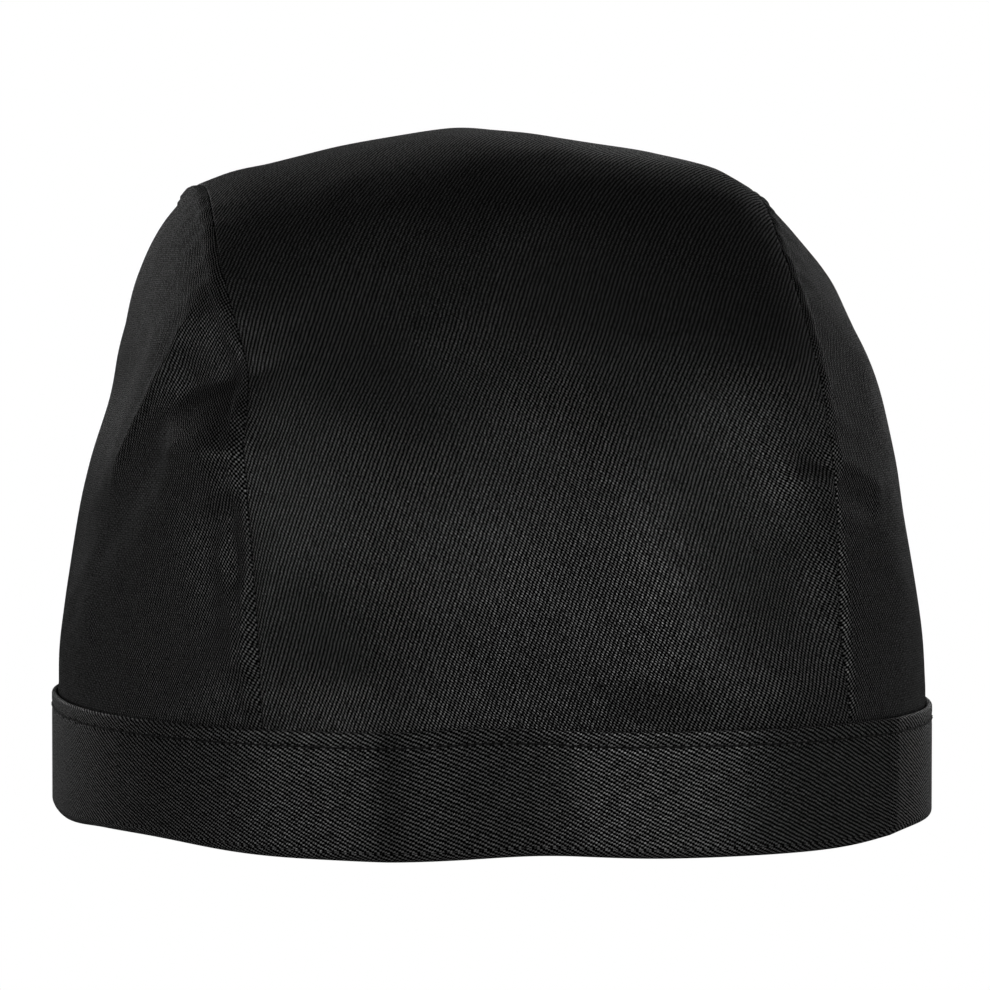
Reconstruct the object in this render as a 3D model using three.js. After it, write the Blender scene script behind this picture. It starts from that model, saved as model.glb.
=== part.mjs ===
// Chef's skull cap: a wide centre panel that runs from front to back over the top, a side panel
// sewn to each of its edges, and a headband folded up round their lower edges.
// Millimetres, +Z up. The cap stands on the fold of its headband, and its front faces -Y.

import * as THREE from 'three';

// Plan of the crown where it enters the headband
const RIM_HALF_WIDTH = 88.4;
const RIM_FRONT = 104.8;
const RIM_BACK = 91.0;
const RIM_CENTRE_Y = 6.8;
const RIM_FULLNESS_LEFT = 2.3;
const RIM_FULLNESS_RIGHT = 2.7;

// Heights over the surface that the cap stands on
const BAND_HEIGHT = 24.2;
const SEAM_TOP = 130.0;
const TUCK_FOOT = 15.0;
const ARCH_FULLNESS = 2.35;

// Cloth
const WALL = 1.0;
const CLEARANCE = 0.3;
const SEAM_INSET = 0.2;
const SEAM_GROOVE = 0.3;
const ALLOWANCE_RISE = 0.7;
const ALLOWANCE_LEFT = 3.6;
const ALLOWANCE_RIGHT = 2.2;
const ALLOWANCE_EDGE = 1.0;
const FOLD_RADIUS = 1.2;
const TOP_ROUNDING = 0.35;

// Where the two seams run in X, by their share of the rise from the band to the seams' top
const SEAMS = [
  { rise: 0.0, left: -55.3, right: 57.9 },
  { rise: 0.3, left: -56.8, right: 57.1 },
  { rise: 0.5, left: -57.6, right: 56.3 },
  { rise: 0.62, left: -56.6, right: 55.6 },
  { rise: 0.75, left: -58.4, right: 54.1 },
  { rise: 0.88, left: -60.1, right: 53.1 },
  { rise: 1.0, left: -59.5, right: 54.6 },
];

// How far the centre panel's top rises over the seams' top, across it from the left seam to the right
const TOP_PROFILE = [
  { across: -1.0, height: 0.0 },
  { across: -0.88, height: 2.5 },
  { across: -0.75, height: 3.9 },
  { across: -0.5, height: 7.5 },
  { across: -0.25, height: 10.7 },
  { across: -0.06, height: 12.5 },
  { across: 0.15, height: 11.4 },
  { across: 0.4, height: 9.0 },
  { across: 0.65, height: 7.2 },
  { across: 0.85, height: 4.7 },
  { across: 1.0, height: 0.0 },
];

// How far each side wall stands out at mid-depth, as a share of the way from its seam to the rim,
// by the share of the way from the middle of its foot to the seam
const SIDE_PROFILE = [
  { far: 0.0, left: 1.0, right: 1.0 },
  { far: 0.12, left: 0.985, right: 0.84 },
  { far: 0.24, left: 0.925, right: 0.76 },
  { far: 0.36, left: 0.82, right: 0.71 },
  { far: 0.48, left: 0.7, right: 0.68 },
  { far: 0.6, left: 0.57, right: 0.65 },
  { far: 0.72, left: 0.48, right: 0.6 },
  { far: 0.84, left: 0.37, right: 0.45 },
  { far: 0.93, left: 0.22, right: 0.2 },
  { far: 1.0, left: 0.0, right: 0.0 },
];

// Soft folds and dents: the cloth rises, or sinks where the height is negative, round a line
const FOLDS = [
  { name: 'front flat', from: [-16, -96, 0], to: [-16, -96, 36], width: 13, height: -0.9 },
  { name: 'front crease', from: [-33, -94, 0], to: [-33, -94, 22], width: 8, height: 0.9 },
  { name: 'front hollow', from: [-32, -73, 104], to: [0, -92, 62], width: 14, height: -1.8 },
  { name: 'front swell', from: [12, -96, 60], to: [40, -94, 34], width: 18, height: 2.2 },
  { name: 'low left dimple', from: [-47, -88, 44], to: [-44, -90, 34], width: 9, height: -1.6 },
  { name: 'low right dimple', from: [51, -88, 52], to: [53, -88, 38], width: 9, height: -1.6 },
  { name: 'left shoulder fold', from: [-65, -50, 104], to: [-77, -28, 76], width: 9, height: 2.8 },
  { name: 'left facet', from: [-60, -67, 88], to: [-67, -60, 78], width: 10, height: -2.6 },
  { name: 'left valley', from: [-65, -71, 60], to: [-64, -74, 44], width: 6, height: -1.4 },
];

// Grid lines
const CENTRE_COLUMNS = 14;
const CENTRE_EDGE_COLUMN = 0.972;
const SIDE_LINES = [0.0, 0.14, 0.28, 0.42, 0.56, 0.7, 0.83, 0.95, 0.962, 0.99, 1.0];
const TUCK_ROWS = 2;

const STEP = 1e-4;
const FOOT_MIDDLE = 0.002;
const LEFT = -1;
const RIGHT = 1;

const mix = (a, b, t) => a + (b - a) * t;

// A smooth curve through one column of a table
function tableAt(rows, key, column, at) {
  const last = rows.length - 1;
  const x = Math.min(Math.max(at, rows[0][key]), rows[last][key]);
  let i = 0;
  while (i < last - 1 && x > rows[i + 1][key]) i += 1;
  const slope = (k) => {
    const before = rows[Math.max(k - 1, 0)];
    const after = rows[Math.min(k + 1, last)];
    return (after[column] - before[column]) / (after[key] - before[key]);
  };
  const run = rows[i + 1][key] - rows[i][key];
  const t = (x - rows[i][key]) / run;
  const start = rows[i][column];
  const end = rows[i + 1][column];
  const blend = t * t * (3 - 2 * t);
  const rising = t * (1 - t) * (1 - t) * run * slope(i);
  const falling = t * t * (t - 1) * run * slope(i + 1);
  return mix(start, end, blend) + rising + falling;
}

const seamX = (side, rise) => tableAt(SEAMS, 'rise', side === LEFT ? 'left' : 'right', rise);

// Share of the rim's full depth at x
function rimReach(x) {
  const fullness = x < 0 ? RIM_FULLNESS_LEFT : RIM_FULLNESS_RIGHT;
  return (1 - (Math.abs(x) / RIM_HALF_WIDTH) ** fullness) ** (1 / fullness);
}

// An arch from front to back: the angle runs from 0 at its front foot to pi at its back foot
function arch(angle, share, height) {
  const run = (Math.cos(angle) > 0 ? RIM_FRONT : RIM_BACK) * share;
  const forward = Math.abs(Math.cos(angle)) / run;
  const upward = Math.sin(angle) / height;
  const reach = (forward ** ARCH_FULLNESS + upward ** ARCH_FULLNESS) ** (-1 / ARCH_FULLNESS);
  return { y: -reach * Math.cos(angle), z: reach * Math.sin(angle), run };
}

// The centre panel, before its folds: across is -1 at the left seam and 1 at the right one
function centrePoint(across, angle) {
  const share = rimReach(mix(seamX(LEFT, 0), seamX(RIGHT, 0), (across + 1) / 2));
  const height = SEAM_TOP - BAND_HEIGHT + tableAt(TOP_PROFILE, 'across', 'height', across);
  const { y, z } = arch(angle, share, height);
  const x = mix(seamX(LEFT, z / height), seamX(RIGHT, z / height), (across + 1) / 2);
  return new THREE.Vector3(x, y + RIM_CENTRE_Y, z + BAND_HEIGHT);
}

// A side panel, before its folds: far is 0 at the middle of its foot and 1 all along the seam
function sidePoint(side, far, angle) {
  const height = SEAM_TOP - BAND_HEIGHT;
  const foot = Math.abs(seamX(side, 0));
  const share = rimReach(side * foot);
  const { y, z, run } = arch(angle, share, height);
  const seam = Math.abs(seamX(side, z / height));
  const fullness = side === LEFT ? RIM_FULLNESS_LEFT : RIM_FULLNESS_RIGHT;
  const rimX = RIM_HALF_WIDTH * (1 - (far * share) ** fullness) ** (1 / fullness);
  const low = (rimX - foot) / (RIM_HALF_WIDTH - foot);
  const tall = tableAt(SIDE_PROFILE, 'far', side === LEFT ? 'left' : 'right', far);
  const climb = z / height / Math.hypot(y / run, z / height);
  const x = mix(seam, RIM_HALF_WIDTH, mix(low, tall, climb));
  return new THREE.Vector3(side * x, y * far + RIM_CENTRE_Y, z * far + BAND_HEIGHT);
}

// The outward normal of a surface given by two numbers
function normalAt(surface, u, v, range) {
  const clampU = (value) => Math.min(Math.max(value, range.u[0]), range.u[1]);
  const clampV = (value) => Math.min(Math.max(value, range.v[0]), range.v[1]);
  const du = surface(clampU(u + STEP), v).sub(surface(clampU(u - STEP), v));
  const dv = surface(u, clampV(v + STEP)).sub(surface(u, clampV(v - STEP)));
  const normal = du.cross(dv).normalize();
  const inside = new THREE.Vector3(0, RIM_CENTRE_Y, BAND_HEIGHT);
  const outward = surface(u, v).sub(inside).dot(normal);
  return outward < 0 ? normal.negate() : normal;
}

function foldPush(point) {
  let push = 0;
  for (const fold of FOLDS) {
    const from = new THREE.Vector3(...fold.from);
    const to = new THREE.Vector3(...fold.to);
    const line = new THREE.Line3(from, to);
    const nearest = line.closestPointToPoint(point, true, new THREE.Vector3());
    const far = point.distanceTo(nearest) / fold.width;
    push += fold.height * Math.exp(-far * far);
  }
  return push;
}

const CENTRE_RANGE = { u: [-1, 1], v: [0, Math.PI] };
const SIDE_RANGE = { u: [FOOT_MIDDLE, 1], v: [0, Math.PI] };

function centreNormal(across, angle) {
  return normalAt(centrePoint, across, angle, CENTRE_RANGE);
}

function sideNormal(side, far, angle) {
  if (far < SIDE_RANGE.u[0]) return new THREE.Vector3(side, 0, 0);
  return normalAt((u, v) => sidePoint(side, u, v), far, angle, SIDE_RANGE);
}

// A point of the cloth's outside with the direction of its thickness
function onCloth(point, normal, relief) {
  const push = foldPush(point) + relief;
  return { point: point.clone().addScaledVector(normal, push), normal };
}

// On a seam the two panels meet in the plane between them, so both take this direction
function onSeam(side, angle) {
  const centre = centreNormal(side, angle);
  const flank = sideNormal(side, 1, angle);
  const halfway = centre.clone().add(flank).normalize();
  const mitre = halfway.clone().divideScalar(halfway.dot(centre));
  const point = centrePoint(side, angle);
  const groove = angle === 0 || angle === Math.PI ? 0 : -SEAM_GROOVE;
  return { point: point.clone().addScaledVector(halfway, foldPush(point) + groove), normal: mitre };
}

// The allowance lies under the side panels along the seam and lifts them a little
function allowance(side, fromSeam, overBand) {
  const width = side === LEFT ? ALLOWANCE_LEFT : ALLOWANCE_RIGHT;
  const inner = THREE.MathUtils.smoothstep(fromSeam, 0, ALLOWANCE_EDGE);
  const outer = 1 - THREE.MathUtils.smoothstep(fromSeam, width, width + ALLOWANCE_EDGE);
  const fade = THREE.MathUtils.smoothstep(overBand, 0, ALLOWANCE_LEFT);
  return ALLOWANCE_RISE * inner * outer * fade;
}

// At the rim the cloth stands upright, and so do the rows tucked into the headband
function footOf(spot, height) {
  const flat = spot.normal.clone().setZ(0).normalize();
  const base = spot.base.clone().setZ(height);
  return { point: base.clone().addScaledVector(flat, foldPush(base)), normal: flat };
}

const tuckHeights = Array.from({ length: TUCK_ROWS + 1 }, (_, k) => mix(TUCK_FOOT, BAND_HEIGHT, k / TUCK_ROWS));

// Angles of the seams' stations, which the centre panel's rows share
const quarterAngles = [
  ...SIDE_LINES.map((line) => (Math.PI / 4) * line),
  ...SIDE_LINES.slice(0, -1).reverse().map((line) => Math.PI / 2 - (Math.PI / 4) * line),
];
const seamAngles = [...quarterAngles, ...quarterAngles.slice(0, -1).reverse().map((angle) => Math.PI - angle)];

const centreColumns = [-1, -CENTRE_EDGE_COLUMN];
for (let k = 1; k < CENTRE_COLUMNS; k += 1) centreColumns.push(mix(-1, 1, k / CENTRE_COLUMNS));
centreColumns.push(CENTRE_EDGE_COLUMN, 1);

const sideColumns = [...SIDE_LINES.slice(1).reverse().map((line) => -line), ...SIDE_LINES];

function centreFoot(across, angle) {
  return { base: centrePoint(across, angle), normal: centreNormal(across, angle) };
}

function centreRows() {
  const spot = (across, angle) => {
    if (Math.abs(across) === 1) return onSeam(across, angle);
    return onCloth(centrePoint(across, angle), centreNormal(across, angle), 0);
  };
  const tuck = (angle) => tuckHeights.map((z) => centreColumns.map((across) => footOf(centreFoot(across, angle), z)));
  const rows = seamAngles.slice(1, -1).map((angle) => centreColumns.map((across) => spot(across, angle)));
  return [...tuck(0), ...rows, ...tuck(Math.PI).reverse()];
}

// Square grid lines bent into the D of a side panel: its foot is straight and its seam is the arch
function sideLine(column, row) {
  const far = Math.max(Math.abs(column), row);
  const low = far === 0 ? 0 : Math.min(Math.abs(column), row) / far;
  const quarter = Math.abs(column) >= row ? (Math.PI / 4) * low : Math.PI / 2 - (Math.PI / 4) * low;
  return { far, angle: column < 0 ? quarter : Math.PI - quarter };
}

function sideFoot(side, column) {
  const { far, angle } = sideLine(column, 0);
  return { base: sidePoint(side, far, angle), normal: sideNormal(side, far, angle) };
}

function sideRows(side) {
  const spot = (column, row) => {
    const { far, angle } = sideLine(column, row);
    if (far === 1) return onSeam(side, angle);
    const point = sidePoint(side, far, angle);
    const fromSeam = point.distanceTo(sidePoint(side, 1, angle));
    return onCloth(point, sideNormal(side, far, angle), allowance(side, fromSeam, point.z - BAND_HEIGHT));
  };
  const tuck = tuckHeights.map((z) => sideColumns.map((column) => footOf(sideFoot(side, column), z)));
  const rows = SIDE_LINES.slice(1).map((row) => sideColumns.map((column) => spot(column, row)));
  return [...tuck, ...rows];
}

// Each panel stops short of the seam's line, so that the two stay apart
function drawBack(edge, neighbour, inset) {
  const way = neighbour.point.clone().sub(edge.point).normalize();
  return { point: edge.point.clone().addScaledVector(way, inset), normal: edge.normal };
}

function insetColumns(rows) {
  return rows.map((row) => {
    const last = row.length - 1;
    const inner = row.slice(1, -1);
    return [drawBack(row[0], row[1], SEAM_INSET), ...inner, drawBack(row[last], row[last - 1], SEAM_INSET)];
  });
}

function insetSide(rows) {
  const columns = insetColumns(rows);
  const top = columns.length - 1;
  const last = columns[top].length - 1;
  columns[top] = rows[top].map((spot, k) => {
    const inward = Math.min(Math.max(k, 1), last - 1);
    return drawBack(spot, rows[top - 1][inward], SEAM_INSET);
  });
  return columns;
}

// Splits a four-cornered face along its shorter diagonal
function pushQuad(faces, points, a, b, c, d) {
  if (points[a].distanceTo(points[c]) <= points[b].distanceTo(points[d])) {
    faces.push(a, b, c, a, c, d);
  } else {
    faces.push(a, b, d, b, c, d);
  }
}

function signedVolume(points, faces) {
  let volume = 0;
  for (let k = 0; k < faces.length; k += 3) {
    const [a, b, c] = [points[faces[k]], points[faces[k + 1]], points[faces[k + 2]]];
    volume += a.dot(b.clone().cross(c)) / 6;
  }
  return volume;
}

function solidGeometry(points, faces) {
  const outward = signedVolume(points, faces) > 0 ? faces : faces.slice().reverse();
  const geometry = new THREE.BufferGeometry().setFromPoints(points);
  geometry.setIndex(outward);
  geometry.computeVertexNormals();
  return geometry;
}

// A wall of cloth between a grid of outside points and the same grid moved inwards
function wallGeometry(rows) {
  const height = rows.length;
  const width = rows[0].length;
  const outside = rows.flat().map((spot) => spot.point);
  const inside = rows.flat().map((spot) => spot.point.clone().addScaledVector(spot.normal, -WALL));
  const points = [...outside, ...inside];
  const faces = [];
  const under = height * width;
  const at = (row, column) => row * width + column;
  for (let row = 0; row < height - 1; row += 1) {
    for (let column = 0; column < width - 1; column += 1) {
      const corners = [at(row, column), at(row, column + 1), at(row + 1, column + 1), at(row + 1, column)];
      pushQuad(faces, points, ...corners);
      pushQuad(faces, points, ...corners.map((corner) => corner + under).reverse());
    }
  }
  const border = [];
  for (let column = 0; column < width - 1; column += 1) border.push(at(0, column));
  for (let row = 0; row < height - 1; row += 1) border.push(at(row, width - 1));
  for (let column = width - 1; column > 0; column -= 1) border.push(at(height - 1, column));
  for (let row = height - 1; row > 0; row -= 1) border.push(at(row, 0));
  border.forEach((corner, k) => {
    const next = border[(k + 1) % border.length];
    pushQuad(faces, points, corner, corner + under, next + under, next);
  });
  return solidGeometry(points, faces);
}

// The strip of the headband, folded at the bottom: a narrow U round the crown's edge.
// out is measured from the crown's outside, up from the surface that the cap stands on.
function bandProfile() {
  const outerFace = CLEARANCE + WALL;
  const outerSlot = CLEARANCE;
  const innerSlot = -WALL - CLEARANCE;
  const innerFace = -2 * WALL - CLEARANCE;
  const shoulder = BAND_HEIGHT - TOP_ROUNDING;
  return [
    { out: outerFace - FOLD_RADIUS / 2, up: 0 },
    { out: outerFace, up: FOLD_RADIUS },
    { out: outerFace, up: BAND_HEIGHT / 2 },
    { out: outerFace, up: shoulder },
    { out: (outerFace + outerSlot) / 2, up: BAND_HEIGHT },
    { out: outerSlot, up: shoulder },
    { out: outerSlot, up: WALL + CLEARANCE },
    { out: innerSlot, up: WALL + CLEARANCE },
    { out: innerSlot, up: shoulder },
    { out: (innerFace + innerSlot) / 2, up: BAND_HEIGHT },
    { out: innerFace, up: shoulder },
    { out: innerFace, up: BAND_HEIGHT / 2 },
    { out: innerFace, up: FOLD_RADIUS },
    { out: innerFace + FOLD_RADIUS / 2, up: 0 },
  ];
}

// Stations round the rim, the same as the panels' columns, so that the band follows them
function rimStations() {
  const front = centreColumns.map((across) => centreFoot(across, 0));
  const right = sideColumns.slice(1, -1).map((column) => sideFoot(RIGHT, column));
  const back = centreColumns.map((across) => centreFoot(across, Math.PI)).reverse();
  const left = sideColumns.slice(1, -1).map((column) => sideFoot(LEFT, column)).reverse();
  return [...front, ...right, ...back, ...left];
}

function bandGeometry() {
  const profile = bandProfile();
  const stations = rimStations();
  const points = stations.flatMap((station) =>
    profile.map(({ out, up }) => {
      const foot = footOf(station, up);
      return foot.point.addScaledVector(foot.normal, out);
    })
  );
  const faces = [];
  const across = profile.length;
  for (let k = 0; k < stations.length; k += 1) {
    const here = k * across;
    const next = ((k + 1) % stations.length) * across;
    for (let j = 0; j < across; j += 1) {
      const beside = (j + 1) % across;
      pushQuad(faces, points, here + j, next + j, next + beside, here + beside);
    }
  }
  return solidGeometry(points, faces);
}

const crownCloth = { color: 0x1a1a1c, roughness: 0.85, metalness: 0 };
const bandCloth = { color: 0x1d1d1f, roughness: 0.85, metalness: 0 };

function piece(name, geometry, cloth) {
  const mesh = new THREE.Mesh(geometry, new THREE.MeshStandardMaterial(cloth));
  mesh.name = name;
  return mesh;
}

const cap = new THREE.Group();
cap.add(piece('centre_panel', wallGeometry(insetColumns(centreRows())), crownCloth));
cap.add(piece('side_panel_left', wallGeometry(insetSide(sideRows(LEFT))), crownCloth));
cap.add(piece('side_panel_right', wallGeometry(insetSide(sideRows(RIGHT))), crownCloth));
cap.add(piece('headband', bandGeometry(), bandCloth));

export default cap;
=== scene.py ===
"""Detailed look of the chef's skull cap, built round its CAD frame.

Shapes are worked out in millimetres, in the frame's axes, and turned into metres when a mesh is made.
"""

import math

import bpy
import numpy as np
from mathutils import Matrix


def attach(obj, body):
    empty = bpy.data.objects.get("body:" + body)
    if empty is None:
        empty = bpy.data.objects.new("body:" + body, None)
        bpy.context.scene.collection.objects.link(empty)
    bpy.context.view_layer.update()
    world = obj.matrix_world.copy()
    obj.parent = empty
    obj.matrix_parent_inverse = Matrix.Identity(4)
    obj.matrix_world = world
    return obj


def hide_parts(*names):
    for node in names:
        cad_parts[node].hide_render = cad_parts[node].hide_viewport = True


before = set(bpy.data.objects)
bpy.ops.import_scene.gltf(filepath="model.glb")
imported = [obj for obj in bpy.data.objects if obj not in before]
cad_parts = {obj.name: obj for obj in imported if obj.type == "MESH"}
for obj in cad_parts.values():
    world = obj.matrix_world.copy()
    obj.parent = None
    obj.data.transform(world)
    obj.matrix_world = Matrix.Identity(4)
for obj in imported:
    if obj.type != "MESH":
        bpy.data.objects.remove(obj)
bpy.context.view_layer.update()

MM = 0.001
LEFT = -1
RIGHT = 1

# Plan of the crown where it enters the headband
RIM_HALF_WIDTH = 88.4
RIM_FRONT = 104.8
RIM_BACK = 91.0
RIM_CENTRE_Y = 6.8
RIM_FULLNESS = {LEFT: 2.3, RIGHT: 2.7}

# Heights over the surface that the cap stands on
BAND_HEIGHT = 24.2
SEAM_TOP = 130.0
TUCK_FOOT = 15.0
TUCK_HEIGHTS = np.array([TUCK_FOOT, 19.0, 22.0, 23.3])

# The seams' arch: how full its curve is, and the radius that turns an angle along it into a rough length
ARCH_FULLNESS = 2.35
ARCH_RADIUS = 105.0

# Where the two seams run in X, by their share of the rise from the band to the seams' top
SEAMS = [
    # rise, left, right
    (0.0, -55.3, 57.9),
    (0.3, -56.8, 57.1),
    (0.5, -57.6, 56.3),
    (0.62, -56.6, 55.6),
    (0.75, -58.4, 54.1),
    (0.88, -60.1, 53.1),
    (1.0, -59.5, 54.6),
]

# How far the centre panel's top rises over the seams' top, across it from the left seam to the right
TOP_PROFILE = [
    # across, height
    (-1.0, 0.0),
    (-0.88, 2.5),
    (-0.75, 3.9),
    (-0.5, 7.5),
    (-0.25, 10.7),
    (-0.06, 12.5),
    (0.15, 11.4),
    (0.4, 9.0),
    (0.65, 7.2),
    (0.85, 4.7),
    (1.0, 0.0),
]

# How far each side wall stands out at mid-depth, as a share of the way from its seam to the rim
SIDE_PROFILE = [
    # far, left, right
    (0.0, 1.0, 1.0),
    (0.12, 0.985, 0.84),
    (0.24, 0.925, 0.76),
    (0.36, 0.82, 0.71),
    (0.48, 0.7, 0.68),
    (0.6, 0.57, 0.65),
    (0.72, 0.48, 0.6),
    (0.84, 0.37, 0.45),
    (0.93, 0.22, 0.2),
    (1.0, 0.0, 0.0),
]

# The folds of the CAD's surfaces: the cloth rises, or sinks where the height is negative, round a line
FOLDS = [
    # from, to, width, height
    ((-16, -96, 0), (-16, -96, 36), 13, -0.9),
    ((-33, -94, 0), (-33, -94, 22), 8, 0.9),
    ((-32, -73, 104), (0, -92, 62), 14, -1.8),
    ((12, -96, 60), (40, -94, 34), 18, 2.2),
    ((-47, -88, 44), (-44, -90, 34), 9, -1.6),
    ((51, -88, 52), (53, -88, 38), 9, -1.6),
    ((-65, -50, 104), (-77, -28, 76), 9, 2.8),
    ((-60, -67, 88), (-67, -60, 78), 10, -2.6),
    ((-65, -71, 60), (-64, -74, 44), 6, -1.4),
]

# Smaller soft folds of the same kind, which only the crown's cloth here has
SOFT_FOLDS = [
    # from, to, width, height
    ((-47, -87, 54), (-46, -88, 50), 11, 1.2),
    ((-46, -87, 32), (-45, -89, 30), 8, -0.6),
    ((36, -91.5, 72), (45, -89.5, 46), 14, -2.5),
    ((2, -60, 123), (-20, -79, 100), 8, 0.9),
    ((-66, -68, 56), (-73, -58, 28), 12, -2.2),
    ((-69, -65, 58), (-70, -65, 46), 6, 0.5),
    ((-84, -20, 52), (-85, -27, 30), 7, 0.6),
    ((-65, -50, 104), (-77, -28, 76), 9, -1.6),
    ((-60, -67, 88), (-67, -60, 78), 10, 2.4),
    ((-63, -62, 91.5), (-68, -55, 89.5), 6.5, -2.2),
    ((-63, -67, 76), (-69, -58, 77), 6.5, 1.9),
    ((-63, -71, 62), (-71, -60, 62), 10, 0.9),
]

# Creases that lie on the larger folds. Each follows a line over the cloth
CENTRE_CREASES = [
    # line, width, height, rounding of the crest
    (((-57, -68, 91), (-54, -69, 92.5), (-50, -71, 94)), 2.0, -0.4, 0.5),
    (((-57, -73, 79), (-53, -75, 80), (-49, -77, 81)), 2.5, -0.4, 0.5),
    (((-53, -79, 72), (-53, -82, 56), (-54, -82, 46), (-56, -81, 33)), 3.5, 0.5, 1.0),
    (((48, -84, 77), (53, -80.5, 75), (58, -77, 73)), 2.2, -0.9, 0.5),
    (((45, -86, 72), (51, -83.5, 70.5), (58, -79, 69)), 2.6, 0.8, 0.6),
]
LEFT_RIDGE = (
    (-61, -53, 108), (-65, -51, 103), (-69, -49, 94),
    (-73, -42, 84), (-76, -32, 73), (-79, -25, 65),
)
LEFT_RIDGE_EDGE = (
    (-62, -50, 106), (-66, -50, 101), (-69, -48, 94),
    (-73, -41, 84), (-76, -31, 73), (-79, -24, 65),
)
LEFT_CHEVRON = (
    (-61, -74, 66), (-64, -72, 57), (-63, -74, 50),
    (-61, -77, 44), (-60, -78, 36), (-60, -78, 29),
)
SIDE_CREASES = {
    LEFT: [
        # line, width, height, rounding of the crest
        (LEFT_RIDGE, 3.5, 1.2, 0.25),
        (LEFT_RIDGE_EDGE, 1.1, 0.4, 0.2),
        (((-56, -69, 91), (-61, -64, 91), (-66, -58, 90), (-70, -51, 88.5)), 3.0, -0.6, 0.4),
        (((-56, -75, 76), (-61, -70, 75), (-67, -61, 76), (-71, -54, 78)), 3.0, 0.8, 0.4),
        (LEFT_CHEVRON, 4.0, 1.4, 0.4),
        (((-61, -72, 69), (-60.5, -74, 59), (-60, -77, 49)), 3.0, -1.2, 0.8),
    ],
    RIGHT: [
        # line, width, height, rounding of the crest
        (((56, -79, 75), (63, -72, 72), (69, -64, 67)), 2.6, 0.9, 0.5),
        (((56, -80, 71), (62, -74, 67), (67, -68, 63)), 2.6, -0.9, 0.5),
    ],
}
BAND_CREASES = [
    # line, width, height, rounding of the crest
    (((-32.5, -93.5, -30), (-32.5, -93.5, 54)), 8.0, 0.6, 0.3),
    (((-6, -98, 54), (0, -98, 24), (4, -98, 0), (9, -97, -30)), 9.0, 0.5, 1.2),
    (((70, -76, 40), (70, -76, 16), (69, -77, -10)), 5.0, 0.7, 0.4),
]

# The share of its length over which a crease fades out at each end
CREASE_END = 0.25

# Slack: soft waves all over the crown's cloth
CENTRE_SLACK = [
    # height, wavelength, seed
    (0.22, 46.0, 3),
    (0.05, 15.0, 4),
]
SIDE_SLACK = {
    LEFT: [(0.3, 38.0, 10), (0.06, 13.0, 14)],
    RIGHT: [(0.3, 38.0, 12), (0.06, 13.0, 16)],
}
WAVES_ADDED = 14
WAVELENGTH_SPREAD = (0.75, 1.4)

# Small puckers that the seams draw into the cloth beside them
PUCKERS = {
    # panel: height, spacing, reach, start, drift of the spacing, length of the drift, unevenness
    "centre": (0.16, 9.0, 4.0, 1.2, 1.4, 31.0, 0.4),
    "side": (0.22, 8.0, 5.0, 1.4, 1.2, 27.0, 0.0),
}
PUCKER_UNEVEN_LENGTH = 23.0
CENTRE_PUCKER_SEED = {LEFT: 5, RIGHT: 6}
SIDE_PUCKER_SEED = {LEFT: 19, RIGHT: 21}

# The crown's relief grows from the grip, just under the headband's edge, and is full so far above it
BAND_GRIP = 1.0
SOFT_FOLD_FADE = 14.0
CENTRE_FADE = 10.0
SIDE_FADE = 3.6

# The crown's cloth
CROWN_THICKNESS = 0.8

# The panels' edges beside a seam: they turn down into it, are calm near it, and sink at each stitch
SEAM_ROLL = {LEFT: 0.45, RIGHT: 0.65}
SEAM_BLEND = 1.3
SEAM_CALM = 12.0
CREASE_CALM = 2.5
SEAM_STITCH = 2.4
STITCH_DENT = {LEFT: 0.09, RIGHT: 0.18}
STITCH_DENT_REACH = 0.7

# The strip on each side panel that covers the turned seam allowance
ALLOWANCE_START = (0.1, 1.9)
ALLOWANCE_WIDTH = {LEFT: 3.3, RIGHT: 2.6}
ALLOWANCE_EDGE = 0.45
ALLOWANCE_RISE = {LEFT: 0.45, RIGHT: 0.25}
ALLOWANCE_CREST_RISE = {LEFT: 0.35, RIGHT: 0.1}
ALLOWANCE_CREST_FOOT = 14.0
ALLOWANCE_CREST_TOP = 2.0
ALLOWANCE_WAVER = 0.12
ALLOWANCE_WAVER_LENGTH = 11.0

# How far the headband stands up: its fold at the two front corners, and all of it near the front's middle
CORNER_LIFT = 1.6
CORNER_X = 76.0
CORNER_REACH = 14.0
CORNER_REACH_UP = 8.0
FRONT_LIFT = 1.1
FRONT_LIFT_X = -12.0
FRONT_LIFT_LEAN = -0.35
FRONT_LIFT_REACH = 15.0

# The lift begins this far forward of the middle of the cap, and is full so far forward
LIFT_BEHIND = 10.0
LIFT_FULL = 40.0

# Headband: out is measured from the crown's outside
BAND_OUT = 1.3
BAND_SLOT = 0.25
BAND_INNER_SLOT = -1.3
BAND_INNER = -2.3
BAND_LIP = 0.5

# Points up each face of the headband, and round each of its rounded edges and its fold
OUTSIDE_POINTS = 42
SLOT_POINTS = 6
INSIDE_POINTS = 14
OUTER_LIP_POINTS = 8
INNER_LIP_POINTS = 6
FOLD_POINTS = 13

# The headband's topstitch lies in a valley, with a hole at each stitch, and the edge above it puffs out
STITCH_UNDER_EDGE = 2.9
STITCHES_ROUND = 141
STATIONS_PER_STITCH = 6
VALLEY_DEPTH = 0.10
VALLEY_WIDTH = 0.7
HOLE_DEPTH = 0.28
HOLE_HEIGHT = 0.5
HOLE_WIDTH = 0.6
PUFF_RISE = 0.03
PUFF_UNDER_EDGE = 1.3
PUFF_WIDTH = 0.9

# Its thread: a six-sided bow from each hole to the next
THREAD_RADIUS = 0.17
THREAD_SIDES = 6
THREAD_POINTS = 9
THREAD_SINK = 0.40
THREAD_BOW = 0.42
THREAD_LEAN = 0.06
THREAD_SEED = 31

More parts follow.
